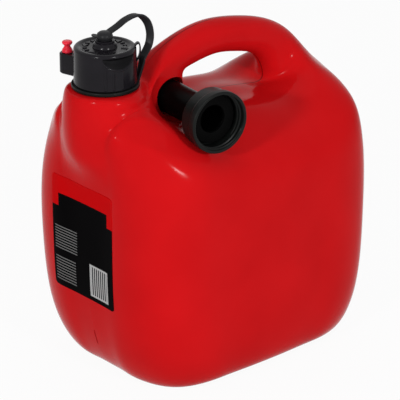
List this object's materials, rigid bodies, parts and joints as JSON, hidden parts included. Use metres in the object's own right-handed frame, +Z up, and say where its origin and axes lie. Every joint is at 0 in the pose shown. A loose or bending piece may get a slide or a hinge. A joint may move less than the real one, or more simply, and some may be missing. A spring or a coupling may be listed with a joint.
{
  "type": "fuel can",
  "caption": "Red blown plastic fuel can with a moulded-on handle, black screw cap on a tether, a red vent stopper and a pouring spout kept in the handle's foot.",
  "frame": {"origin": "middle of the base, on the surface that the can stands on", "axes": "+Z up; the neck stands near the -X end wall and the handle's rear foot near +X; the kept spout's mouth faces the -Y side"},
  "size_m": [0.2311, 0.161, 0.2701],
  "materials": {
    "tank_red": "blown polyethylene, satin gloss",
    "stopper_red": "moulded polyethylene, satin",
    "black_plastic": "moulded polyethylene, satin black",
    "black_rubber": "matt rubber",
    "label_film": "printed film, plain black and red fields"
  },
  "bodies": {
    "tank": {"tank_shell": "tank_red", "neck_finish": "tank_red", "front_label": "label_film", "cap_tether": "black_plastic"},
    "gasket": {"cap_gasket": "black_rubber"},
    "cap": {"screw_cap": "black_plastic"},
    "vent": {"vent_stopper": "stopper_red"},
    "spout": {"spout_tube": "black_plastic", "spout_gasket": "black_rubber"},
    "nut": {"spout_nut": "black_plastic"}
  },
  "joints": [
    {"name": "cap_rise", "type": "slide", "parent": "tank", "child": "gasket", "axis": [0, 0, 1], "range_m": [0, 0.0028], "deforming": ["cap_tether"]},
    {"name": "cap_turn", "type": "hinge", "parent": "gasket", "child": "cap", "pos_m": [-0.0905, 0, 0.238], "axis": [0, 0, 1], "range_deg": [0, 200]},
    {"name": "vent_lift", "type": "slide", "parent": "cap", "child": "vent", "axis": [0, 0, 1], "range_m": [0, 0.004]},
    {"name": "spout_slide", "type": "slide", "parent": "tank", "child": "spout", "axis": [-0.1132, -0.9936, 0], "range_m": [0, 0.16]},
    {"name": "nut_turn", "type": "hinge", "parent": "spout", "child": "nut", "pos_m": [-0.04944, -0.0741, 0.2052], "axis": [-0.1132, -0.9936, 0], "continuous": true}
  ],
  "couplings": [
    {"joint": "cap_rise", "follows": "cap_turn", "m_per_rad": 0.00079577}
  ]
}
